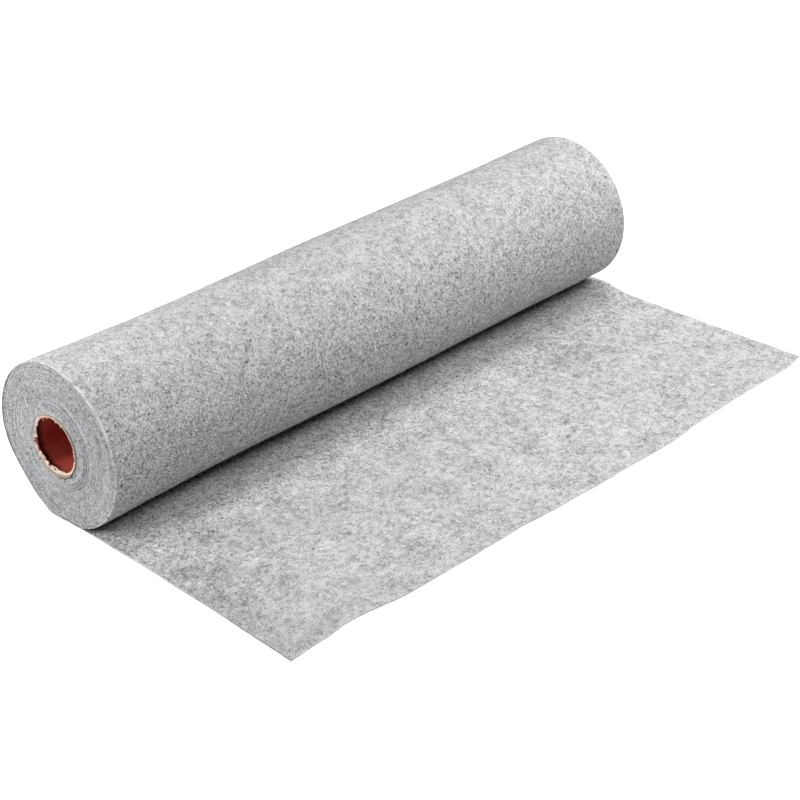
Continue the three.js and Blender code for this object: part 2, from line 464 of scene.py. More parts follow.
collar = CORE_COLLAR * smoothstep(COLLAR_FROM, COLLAR_FULL, inner_path / TURNS)
pushed_out = shifted(PUSHED_OUT, np.mod(inner_path, 1)) * (1 - smoothstep(*PUSHED_OUT_TURNS, inner_path))
inner_edges = (turn_edges(21) - collar, turn_edges(31) + COLLAR_FAR_SHARE * collar + pushed_out)


def wound_thickness(along):
    """The turns are pressed thinner where the roll is slimmer."""
    return (ROLL_RADIUS + eased(SWELLING, "grow", along) - FELT_BORE) / TURNS * WOUND_TIGHT


inner_strip, inner_sides = build_strip(
    inner_path, INNER_SPACING, INNER_INSETS, inner_edges, wound_thickness
)

# In the bake each turn has its own row, with more room for its edges than for its hidden faces.
EDGE_COLUMN, HIDDEN_WEIGHT, ROW_MARGIN = 3 * MM, 0.05, 0.03
edge_weight = np.where(np.diff(inner_strip.around) < EDGE_COLUMN, 1.0, HIDDEN_WEIGHT)
edge_share = np.concatenate([[0], np.cumsum(edge_weight)]) / edge_weight.sum()
in_row = ROW_MARGIN + (1 - 2 * ROW_MARGIN) * edge_share
inner_rows = int(round(TURNS - OUTER_END_TURN))
inner_maps = corner_maps(
    inner_strip,
    lambda i, rows: (rows - i // TURN_STATIONS * TURN_STATIONS) / TURN_STATIONS,
    lambda i, columns: (i // TURN_STATIONS + in_row[columns]) / inner_rows,
)
inner_maps["cloth"][..., 0] += OUTER_LENGTH
inner_maps["cut_edge"][..., 1] += OUTER_LENGTH

# The cut edges lie side by side, so their fibres are laid out over the whole end of the roll.
END_FINENESS, FAR_END_SHIFT = 1.25, 0.4
column = np.arange(len(inner_strip.faces)) % inner_strip.columns
profile = len(EDGE_PROFILE)
is_far = (column >= inner_sides - 1) & (column < inner_sides + profile)
is_near = column >= 2 * inner_sides + profile - 1
corners = inner_strip.points[inner_strip.faces]
end_layout = END_FINENESS * corners[..., 1:] + np.where(is_far, FAR_END_SHIFT, 0.0)[:, None, None]
on_end = is_far | is_near
inner_maps["cloth"][on_end] = end_layout[on_end]
felt_turns = felt_piece("felt_turns", inner_strip, inner_sides, inner_maps)

# %% [markdown]
# ## The core tube
# The core is a spiral-wound paper tube: a red-brown liner inside, kraft paper outside, and pale board
# between them. Its sawn near end is torn, so the pale plies show as a ragged ring, deep at the bottom
# where the liner has come away. A table gives, in degrees round the ring from its top, how deep the tear
# runs, how much of the wall it takes, how far the plies splay outwards and how far the liner curls in.
# Where the plies splay, the outer part of the ring is kraft, and bits of red liner stay on the board.
# The wall is one loop of columns turned about the axis, and noise roughens the torn ones. A cylinder with
# a Solidify modifier would give a clean tube, but not this end.

# %% Make the core tube
Tear = namedtuple("Tear", "along depth width splay curl")
TORN_RING = [
    Tear(0, 1.0 * MM, 0.9, 0.0, 0.0),
    Tear(30, 0.5 * MM, 0.75, 0.0, 0.0),
    Tear(100, 0.6 * MM, 0.75, 0.0, 0.0),
    Tear(132, 0.6 * MM, 0.8, 0.8 * MM, 0.0),
    Tear(148, 1.0 * MM, 0.9, 3.0 * MM, 0.0),
    Tear(162, 2.6 * MM, 1.0, 4.2 * MM, 0.4 * MM),
    Tear(176, 3.4 * MM, 1.0, 4.4 * MM, 1.4 * MM),
    Tear(192, 2.4 * MM, 0.9, 3.8 * MM, 2.4 * MM),
    Tear(208, 1.4 * MM, 0.75, 2.8 * MM, 2.8 * MM),
    Tear(226, 1.2 * MM, 0.7, 1.4 * MM, 2.8 * MM),
    Tear(244, 0.8 * MM, 0.5, 0.4 * MM, 2.2 * MM),
    Tear(262, 1.0 * MM, 0.5, 0.0, 1.6 * MM),
    Tear(272, 1.6 * MM, 0.7, 0.0, 2.4 * MM),
    Tear(284, 0.8 * MM, 0.5, 0.0, 1.4 * MM),
    Tear(315, 0.6 * MM, 0.75, 0.0, 0.8 * MM),
    Tear(340, 1.5 * MM, 1.0, 0.0, 0.0),
    Tear(360, 1.0 * MM, 0.9, 0.0, 0.0),
]
LINER, BOARD, KRAFT = range(3)
KRAFT_FROM = 1.2 * MM
RedBit = namedtuple("RedBit", "first_row start end")
RED_BITS = [RedBit(3, 252, 266), RedBit(6, 186, 246), RedBit(6, 322, 356)]
RED_COVER, RED_COVER_FROM = Wander(1.0, 5, 49), -0.15
RING_ROW, LIP_ROW = 3, 7
RING_STATIONS = 288
CORE_BORE = CORE_RADIUS - CORE_WALL
BORE_ROWS, BORE_CROWDING = 28, 1.6
UNDER_FELT = 14 * MM
NEAR_SET_BACK, FAR_SET_BACK = 0.5 * MM, 0.3 * MM
RAGGED_LONG = Wander(0.5 * MM, 6 * MM, 41)
RAGGED_SHORT = Wander(0.4 * MM, 1.8 * MM, 42)
DEPTH_LONG = Wander(0.45, 7 * MM, 43)
DEPTH_SHORT = Wander(0.4, 2.4 * MM, 44)
SPLAY_UNEVEN = Wander(0.5, 4 * MM, 45)
FAR_CUT = Wander(0.2 * MM, 4 * MM, 46)
CURL_LONG = Wander(0.6, 5 * MM, 47)
CURL_SHORT = Wander(0.7, 2.2 * MM, 48)
CURL_LEAST = 0.2
ROUGH_BOARD = [Wander(0.5 * MM, 1.7 * MM, seed) for seed in range(50, 54)]


def core_columns(degrees):
    """Radius, x and paper of each column of the wall, from outside, over the near end, to the far end."""
    rim_place = np.radians(degrees) * CORE_RADIUS
    ragged = wander(RAGGED_LONG, rim_place) + wander(RAGGED_SHORT, rim_place)
    uneven_depth = 1 + wander(DEPTH_LONG, rim_place) + wander(DEPTH_SHORT, rim_place)
    depth = eased(TORN_RING, "depth", degrees) * uneven_depth
    splay = eased(TORN_RING, "splay", degrees) * (1 + wander(SPLAY_UNEVEN, rim_place))
    torn = CORE_WALL * eased(TORN_RING, "width", degrees)
    uneven_curl = 1 + wander(CURL_LONG, rim_place) + wander(CURL_SHORT, rim_place)
    curl = eased(TORN_RING, "curl", degrees) * np.clip(uneven_curl, CURL_LEAST, None)
    rough = [wander(kind, rim_place) for kind in ROUGH_BOARD]
    near = CORE_NEAR + NEAR_SET_BACK + ragged
    far = CORE_FAR - FAR_SET_BACK + wander(FAR_CUT, rim_place)
    lip = near + depth + 0.4 * MM
    bore_start = lip + 1.2 * (CORE_WALL - torn) + 0.1 * MM
    columns = [
        (CORE_RADIUS, CORE_NEAR + UNDER_FELT, KRAFT),
        (CORE_RADIUS + 0.2 * splay, near + 1.4 * MM, KRAFT),
        (CORE_RADIUS + splay - 0.25 * MM, near + 0.3 * MM, KRAFT),
        (CORE_RADIUS + 0.7 * splay - 0.28 * torn, near + rough[0] * 0.5, BOARD),
        (CORE_RADIUS - 0.45 * torn, near + 0.22 * depth + rough[1], BOARD),
        (CORE_RADIUS - 0.68 * torn, near + 0.5 * depth + rough[2], BOARD),
        (CORE_RADIUS - 0.88 * torn, near + 0.8 * depth + rough[3], BOARD),
        (CORE_RADIUS - torn - curl, lip, LINER),
        (CORE_RADIUS - torn - 0.9 * curl, lip + 0.3 * MM, LINER),
        (CORE_BORE, bore_start, LINER),
    ]
    for k in range(1, BORE_ROWS):
        share = (k / BORE_ROWS) ** BORE_CROWDING
        columns.append((CORE_BORE, bore_start + (far - bore_start) * share, LINER))
    columns += [
        (CORE_BORE, far - 0.8 * MM, BOARD),
        (CORE_BORE + 0.4 * MM, far, BOARD),
        (CORE_RADIUS - 0.4 * MM, far, BOARD),
        (CORE_RADIUS, far - 0.8 * MM, KRAFT),
        (CORE_RADIUS, CORE_FAR - UNDER_FELT, KRAFT),
    ]
    return columns


ring_degrees = np.arange(RING_STATIONS) * 360 / RING_STATIONS
wall = core_columns(ring_degrees)
wall_slots = [kind for _, _, kind in wall]
ring_angle = np.radians(ring_degrees)
core_points = []
for radius, x, _ in wall:
    place = np.broadcast_to(x, ring_angle.shape)
    y = AXIS_Y + CORE_BACK - radius * np.sin(ring_angle)
    core_points.append(np.stack([place, y, AXIS_Z + CORE_UP + radius * np.cos(ring_angle)], axis=-1))
core_points = np.array(core_points)
core_corner = np.arange(core_points.shape[0] * RING_STATIONS).reshape(-1, RING_STATIONS)
core_next = np.roll(core_corner, -1, axis=0)
core_faces = np.stack(
    [core_corner, core_next, np.roll(core_next, -1, axis=1), np.roll(core_corner, -1, axis=1)], axis=-1
)
core_mesh = bpy.data.meshes.new("core_wall")
core_mesh.from_pydata(core_points.reshape(-1, 3).tolist(), [], core_faces.reshape(-1, 4).tolist())
core_mesh.polygons.foreach_set("use_smooth", np.ones(len(core_mesh.polygons), bool))
face_slots = np.repeat(wall_slots, RING_STATIONS).reshape(-1, RING_STATIONS)
face_slots[RING_ROW, eased(TORN_RING, "splay", ring_degrees) > KRAFT_FROM] = KRAFT
red_cover = wander(RED_COVER, ring_degrees) > RED_COVER_FROM
for bit in RED_BITS:
    is_red = (ring_degrees > bit.start) & (ring_degrees < bit.end) & red_cover
    face_slots[bit.first_row : LIP_ROW, is_red] = LINER
core_mesh.polygons.foreach_set("material_index", face_slots.ravel())
core_map = core_mesh.uv_layers.new(name="tube")
turn_of = np.arange(RING_STATIONS) / RING_STATIONS * TAU * CORE_RADIUS
around_next = turn_of + TAU * CORE_RADIUS / RING_STATIONS
core_x = core_points[:, :, 0]
core_x_next = np.roll(core_x, -1, axis=0)
tube_uv = np.stack(
    [
        np.stack([np.broadcast_to(turn_of, core_x.shape), core_x], axis=-1),
        np.stack([np.broadcast_to(turn_of, core_x.shape), core_x_next], axis=-1),
        np.stack([np.broadcast_to(around_next, core_x.shape), np.roll(core_x_next, -1, axis=1)], axis=-1),
        np.stack([np.broadcast_to(around_next, core_x.shape), np.roll(core_x, -1, axis=1)], axis=-1),
    ],
    axis=2,
)
core_map.data.foreach_set("uv", tube_uv.ravel())
core_mesh.validate()
core_wall = bpy.data.objects.new("core_wall", core_mesh)
bpy.context.scene.collection.objects.link(core_wall)
print("core_wall:", 2 * len(core_mesh.polygons), "triangles")

# %% [markdown]
# ## Torn flaps on the core's near end
# Where the saw tore the paper, small tongues of liner and board hang from the ring. Each flap is a thin
# curved tongue with a ragged tip. A table says where it hangs, how long it is and which way it leans:
# 0 degrees is straight out of the tube, 90 is towards its axis, and below 0 is outwards over the ring.
# They could be pulled out of the wall's own mesh, but separate tongues are easier to place. All the flaps
# are joined in one mesh.

# %% Make the torn flaps
Flap = namedtuple("Flap", "angle width length start lean curl slot")
TORN_FLAPS = [
    Flap(272, 8 * MM, 3.8 * MM, 1.2 * MM, 75, 15, BOARD),
    Flap(259, 7 * MM, 3.2 * MM, 0.8 * MM, -35, -60, LINER),
    Flap(247, 6 * MM, 2.2 * MM, 0.8 * MM, 70, 20, LINER),
    Flap(235, 5 * MM, 1.8 * MM, 1.4 * MM, 75, 20, BOARD),
    Flap(222, 6 * MM, 2.8 * MM, 2.0 * MM, 75, 15, BOARD),
    Flap(212, 4 * MM, 2.2 * MM, 2.4 * MM, 65, 25, LINER),
    Flap(204, 6 * MM, 4.0 * MM, 2.8 * MM, 30, 40, LINER),
    Flap(197, 4 * MM, 3.0 * MM, 3.2 * MM, 70, 20, BOARD),
    Flap(188, 6 * MM, 3.6 * MM, 4.0 * MM, 60, 30, BOARD),
    Flap(176, 5 * MM, 2.6 * MM, 4.4 * MM, 65, 20, BOARD),
    Flap(300, 7 * MM, 2.0 * MM, 1.0 * MM, 65, 20, BOARD),
    Flap(332, 8 * MM, 3.0 * MM, 1.2 * MM, 55, 25, LINER),
    Flap(345, 6 * MM, 2.2 * MM, 1.4 * MM, 60, 25, LINER),
    Flap(12, 4 * MM, 1.2 * MM, 1.0 * MM, 35, 25, BOARD),
    Flap(27, 4 * MM, 1.0 * MM, 0.9 * MM, 35, 25, BOARD),
]
FLAP_ROWS, FLAP_COLUMNS = 7, 11
FLAP_THICKNESS, FLAP_ROOT = 0.35 * MM, 0.4 * MM
FLAP_SEED = 60


def flap_points(flap, seed):
    """A grid of points, tip last, with the upper layer and then the lower one in each row."""
    share = np.linspace(0, 1, FLAP_ROWS)[:, None]
    across = np.linspace(-0.5, 0.5, FLAP_COLUMNS)[None, :]
    ragged = 1 + 0.5 * lumps(across * flap.width, 0, flap.width / 4, seed) - 0.8 * (2 * across) ** 4
    reach = flap.length * share * np.clip(ragged, 0.15, None)
    lean = np.radians(flap.lean + flap.curl * share / 2)
    angle = np.radians(flap.angle) + across * flap.width * (1 - 0.35 * share**2) / CORE_BORE
    layers = []
    for lift in (0.0, FLAP_THICKNESS):
        radius = CORE_BORE + FLAP_ROOT - reach * np.sin(lean) - lift * np.cos(lean)
        x = CORE_NEAR + flap.start - reach * np.cos(lean) + lift * np.sin(lean) + 0 * angle
        y = AXIS_Y + CORE_BACK - radius * np.sin(angle)
        z = AXIS_Z + CORE_UP + radius * np.cos(angle)
        layers.append(np.stack([x, y, z], axis=-1))
    return np.concatenate([layers[0], layers[1][:, ::-1]], axis=1)


flap_verts, flap_faces, flap_slots = [], [], []
for number, flap in enumerate(TORN_FLAPS):
    grid = flap_points(flap, FLAP_SEED + number)
    wide = grid.shape[1]
    corner = len(flap_verts) * FLAP_ROWS * wide + np.arange(FLAP_ROWS * wide).reshape(FLAP_ROWS, wide)
    beside = np.roll(corner, -1, axis=1)
    swept = np.stack([corner[:-1], beside[:-1], beside[1:], corner[1:]], axis=-1).reshape(-1, 4).tolist()
    made = swept + [corner[0][::-1].tolist(), corner[-1].tolist()]
    flap_verts.append(grid.reshape(-1, 3))
    flap_faces += made
    flap_slots += [flap.slot] * len(made)
flap_mesh = bpy.data.meshes.new("core_flaps")
flap_mesh.from_pydata(np.concatenate(flap_verts).tolist(), [], flap_faces)
flap_mesh.polygons.foreach_set("use_smooth", np.ones(len(flap_mesh.polygons), bool))
flap_mesh.polygons.foreach_set("material_index", flap_slots)
flap_map = flap_mesh.uv_layers.new(name="tube")
flap_at = np.concatenate(flap_verts)[[v for face in flap_faces for v in face]]
flap_uv = np.stack([flap_at[:, 1] + flap_at[:, 2], flap_at[:, 0]], axis=-1)
flap_map.data.foreach_set("uv", flap_uv.ravel())
core_flaps = bpy.data.objects.new("core_flaps", flap_mesh)
bpy.context.scene.collection.objects.link(core_flaps)
print("core_flaps:", len(TORN_FLAPS), "flaps")

# %% [markdown]
# ## Shader helpers
# A finish is a tree of nodes, and most of its lines would only place a node and link it. Each helper makes
# one such step and gives back its output, so that a finish reads like a formula. The same trees could be
# drawn by hand in the shader editor, but a script makes them the same each time.

# %% Node helpers
def put(tree, kind, **settings):
    made = tree.nodes.new(kind)
    for name, value in settings.items():
        setattr(made, name, value)
    return made


def feed(tree, socket, value):
    """Links a socket's output, or sets a plain value."""
    if isinstance(value, bpy.types.NodeSocket):
        tree.links.new(value, socket)
    else:
        socket.default_value = value


def calc(tree, operation, a, b=0.0, clamp=False):
    made = put(tree, "ShaderNodeMath", operation=operation, use_clamp=clamp)
    feed(tree, made.inputs[0], a)
    feed(tree, made.inputs[1], b)
    return made.outputs[0]


def ramp_between(tree, value, low, high, to_low=0.0, to_high=1.0):
    made = put(tree, "ShaderNodeMapRange", interpolation_type="SMOOTHSTEP", clamp=True)
    for socket, amount in zip(made.inputs, (value, low, high, to_low, to_high)):
        feed(tree, socket, amount)
    return made.outputs[0]


def noise_value(tree, place, scale, detail=1.0, roughness=0.5, output="Fac"):
    made = put(tree, "ShaderNodeTexNoise", noise_dimensions="2D")
    feed(tree, made.inputs["Vector"], place)
    made.inputs["Scale"].default_value = scale
    made.inputs["Detail"].default_value = detail
    made.inputs["Roughness"].default_value = roughness
    return made.outputs[output]


def turned(tree, place, degrees, length, width, shift):
    """Place turned by an angle and squeezed, so that noise there becomes streaks."""
    made = put(tree, "ShaderNodeMapping", vector_type="POINT")
    feed(tree, made.inputs["Vector"], place)
    made.inputs["Rotation"].default_value = (0, 0, math.radians(degrees))
    made.inputs["Location"].default_value = (shift, -0.7 * shift, 0)
    squeezed = put(tree, "ShaderNodeVectorMath", operation="MULTIPLY")
    feed(tree, squeezed.inputs[0], made.outputs[0])
    squeezed.inputs[1].default_value = (1 / length, 1 / width, 0)
    return squeezed.outputs[0]


def mix_colours(tree, share, a, b):
    made = put(tree, "ShaderNodeMix", data_type="RGBA")
    feed(tree, made.inputs["Factor"], share)
    feed(tree, made.inputs["A"], a)
    feed(tree, made.inputs["B"], b)
    return made.outputs["Result"]


def start_group(name, inputs, outputs):
    group = bpy.data.node_groups.new(name, "ShaderNodeTree")
    for label, kind, value in inputs:
        socket = group.interface.new_socket(label, in_out="INPUT", socket_type=kind)
        if value is not None:
            socket.default_value = value
    for label, kind in outputs:
        group.interface.new_socket(label, in_out="OUTPUT", socket_type=kind)
    return group, group.nodes.new("NodeGroupInput").outputs, group.nodes.new("NodeGroupOutput").inputs


def use_group(tree, group, **values):
    made = put(tree, "ShaderNodeGroup", node_tree=group)
    for label, value in values.items():
        feed(tree, made.inputs[label.replace("_", " ")], value)
    return made.outputs


# %% [markdown]
# ## The heather of the felt
# Grey felt is a mix of light and dark fibres, which makes it look marled. A node group with named inputs
# and outputs draws that mix, in amounts that differ on the loose end, the roll and its ends. It lays
# streaks of noise in four directions, bent by a slower noise, and adds winding strands, soft clumps and
# clouds. Plain noise would be simpler, but it makes round spots, not fibres.

# %% The heather of light and dark fibres
VECTOR, FLOAT = "NodeSocketVector", "NodeSocketFloat"
STREAK_ANGLES = (8, 52, 97, 141)
BEND_SIZE, BEND_REACH = 11 * MM, 9 * MM
DARK_FIBRE, LIGHT_FIBRE = (6.5 * MM, 1.4 * MM), (6.0 * MM, 1.2 * MM)
FIBRE_RAMP = (0.60, 0.80)
FINE_SIZE, CLUMP_SIZE, CLOUD_SIZE = 1.3 * MM, 9 * MM, 40 * MM
MIDDLE_TONE = 0.56


def make_heather():
    group, given, out = start_group(
        "heather fibres",
        [("Place", VECTOR, None), ("Strands", FLOAT, 1.0), ("Clumps", FLOAT, 1.0), ("Grain", FLOAT, 1.0)],
        [("Tone", FLOAT), ("Relief", FLOAT)],
    )
    bend = noise_value(group, given["Place"], 1 / BEND_SIZE, detail=1, output="Color")
    centred = put(group, "ShaderNodeVectorMath", operation="SUBTRACT")
    feed(group, centred.inputs[0], bend)
    centred.inputs[1].default_value = (0.5, 0.5, 0.5)
    bent = put(group, "ShaderNodeVectorMath", operation="MULTIPLY_ADD")
    feed(group, bent.inputs[0], centred.outputs[0])
    bent.inputs[1].default_value = (BEND_REACH, BEND_REACH, 0)
    feed(group, bent.inputs[2], given["Place"])
    place = bent.outputs[0]

    def streaks(length, width, shift):
        """Short straight fibres: the strongest of four directions of stretched noise."""
        strongest = None
        for k, degrees in enumerate(STREAK_ANGLES):
            lane = turned(group, place, degrees, length, width, shift + 3.1 * k)
            streak = noise_value(group, lane, 1.0)
            strongest = streak if strongest is None else calc(group, "MAXIMUM", strongest, streak)
        return ramp_between(group, strongest, *FIBRE_RAMP)

    def winding(size, width, shift):
        """Winding strands: lines where a noise passes its middle value, kept only in patches."""
        spot = turned(group, given["Place"], 20 * shift, size, size, shift)
        wave = noise_value(group, spot, 1.0, detail=2)
        off_middle = calc(group, "ABSOLUTE", calc(group, "SUBTRACT", wave, 0.5))
        line = ramp_between(group, off_middle, 0.0, width, 1.0, 0.0)
        patch = ramp_between(group, noise_value(group, spot, 0.55, detail=1), 0.42, 0.62)
        return calc(group, "MULTIPLY", line, patch)

    def swing(pattern, amount):
        return calc(group, "MULTIPLY", calc(group, "SUBTRACT", pattern, 0.5), amount)

    dark = streaks(*DARK_FIBRE, 1.7)
    light = streaks(*LIGHT_FIBRE, 7.9)
    dark_winding = calc(group, "MAXIMUM", winding(8 * MM, 0.10, 2.3), winding(6 * MM, 0.11, 5.1))
    light_winding = winding(7 * MM, 0.09, 9.4)
    fine = noise_value(group, place, 1 / FINE_SIZE, detail=2, roughness=0.6)
    clumps = noise_value(group, place, 1 / CLUMP_SIZE, detail=2, roughness=0.6)
    clouds = noise_value(group, given["Place"], 1 / CLOUD_SIZE, detail=2, roughness=0.5)

    soft = calc(group, "ADD", swing(clumps, 0.40), swing(clouds, 0.34))
    tone = calc(group, "ADD", MIDDLE_TONE, calc(group, "MULTIPLY", soft, given["Clumps"]))
    grain = calc(group, "ADD", swing(fine, 0.50), calc(group, "MULTIPLY", light, 0.15))
    grain = calc(group, "SUBTRACT", grain, calc(group, "MULTIPLY", dark, 0.30))
    tone = calc(group, "ADD", tone, calc(group, "MULTIPLY", grain, given["Grain"]))
    strands = calc(group, "MULTIPLY", light_winding, 0.13)
    strands = calc(group, "SUBTRACT", strands, calc(group, "MULTIPLY", dark_winding, 0.24))
    tone = calc(group, "ADD", tone, calc(group, "MULTIPLY", strands, given["Strands"]))
    feed(group, out["Tone"], tone)
    relief = calc(group, "ADD", calc(group, "MULTIPLY", light, 0.6), calc(group, "MULTIPLY", fine, 0.8))
    feed(group, out["Relief"], calc(group, "ADD", relief, calc(group, "MULTIPLY", clumps, 0.5)))
    return group


heather = make_heather()
print("heather fibres:", len(heather.nodes), "nodes")


# %% [markdown]
# ## The fibre of paper
# Liner, board and kraft are all pressed from short fibres, so they share one node group and differ only
# in colour and relief. It stretches fine noise along the tube for the fibres and adds broad blotches.

# %% The fibres of torn and rolled paper
def make_paper_fibre():
    group, given, out = start_group(
        "paper fibre",
        [("Place", VECTOR, None), ("Fibre Length", FLOAT, 3 * MM)],
        [("Mottle", FLOAT), ("Relief", FLOAT)],
    )
    along = put(group, "ShaderNodeVectorMath", operation="MULTIPLY")
    feed(group, along.inputs[0], given["Place"])
    along.inputs[1].default_value = (1.0, 0.35, 1.0)
    scale = calc(group, "DIVIDE", 1.0, given["Fibre Length"])
    scaled = put(group, "ShaderNodeVectorMath", operation="SCALE")
    feed(group, scaled.inputs[0], along.outputs[0])
    feed(group, scaled.inputs["Scale"], scale)
    fibres = noise_value(group, scaled.outputs[0], 2.0, detail=3, roughness=0.65)
    blotches = noise_value(group, scaled.outputs[0], 0.22, detail=2)
    mottle = calc(group, "MULTIPLY", fibres, 0.6)
    mottle = calc(group, "ADD", mottle, calc(group, "MULTIPLY", blotches, 0.4))
    feed(group, out["Mottle"], mottle)
    feed(group, out["Relief"], fibres)
    return group


paper_fibre = make_paper_fibre()
print("paper fibre:", len(paper_fibre.nodes), "nodes")

# %% [markdown]
# ## The felt's finish
# Needle felt is matt and slightly furry. The base colour runs from dark fibre to white fibre by the
# heather's tone, and a little sheen gives the furry bloom at grazing angles. A second map holds the
# distance from the cut sides and from the front edge. With it the rim of the outermost turn is pale,
# unevenly: partly a paler cut edge, and partly a painted highlight, strongest where the light falls on
# the rim. The loose end's cut edges are pale too, and the cut ends of the other turns differ in tone.
# Grain is stronger on the shaded side, as painted shade of the fibres in raking light. Soft patches on
# the loose end are painted shade and painted light: darker at its near side and towards the far nip,
# paler near its near front corner. Deep in the nip, where the roll lies on the loose end, painted shade
# darkens the felt. A picture of felt could be wrapped round instead, but on so long a strip it would
# show repeats.

# %% Felt material
LOOSE_LENGTH = mean_reach
CUT_WIDTH = (0.6 * MM, 3.2 * MM)
ARC_LENGTH, ARC_RAMP, ARC_TONE = 0.16, (0.35, 0.72), (-0.05, 0.15)
# The rim's pale band is partly a paler cut edge and partly a painted highlight where the light falls on it
RIM_STARTS, RIM_FULL, RIM_ENDS = 0.22, 0.42, 0.09
RIM_TONE_LENGTH, RIM_RAMP = 0.016, (0.35, 0.62)
RIM_LIGHTENING, RIM_LEAST, RIM_AT_END = 0.46, 0.35, 0.3
LOOSE_CUT, LOOSE_CUT_LIGHTENING = (0.2 * MM, 1.6 * MM), 0.28
# Painted shade and painted light on the loose end: darker at its near side and towards the far nip, paler
# near its near front corner
Patch = namedtuple("Patch", "from_front across reach tone")
PAINTED_LIGHT_AND_SHADE_PATCHES = [
    Patch(0.23, 0.00, 0.20, -0.14),
    Patch(0.00, 0.10, 0.15, 0.10),
    Patch(0.27, 0.80, 0.12, -0.12),
]
# Stronger grain on the roll's low front and by the nip is painted shade of the fibres in raking light
FRONT_GRAIN = 0.32
GRAIN_ON_ROLL = (1.18, 5.4)
SHADE_FROM, SHADE_FULL = 0.22, 0.08
GRAIN_ON_SHEET = (1.0, 2.7)
# Painted shade deep in the nip, where the roll lies on the loose end
NIP_SEEN, NIP_ROLL, NIP_DARKEST, NIP_PAINTED_SHADE = 0.047, 0.075, 0.036, 0.25


def start_material(name):
    material = bpy.data.materials.new(name)
    material.use_nodes = True
    tree = material.node_tree
    shader = tree.nodes["Principled BSDF"]
    return material, tree, shader


def map_place(tree, name):
    return put(tree, "ShaderNodeUVMap", uv_map=name).outputs[0]


def bump(tree, height, strength, distance):
    made = put(tree, "ShaderNodeBump")
    made.inputs["Strength"].default_value = strength
    made.inputs["Distance"].default_value = distance
    feed(tree, made.inputs["Height"], height)
    return made.outputs[0]


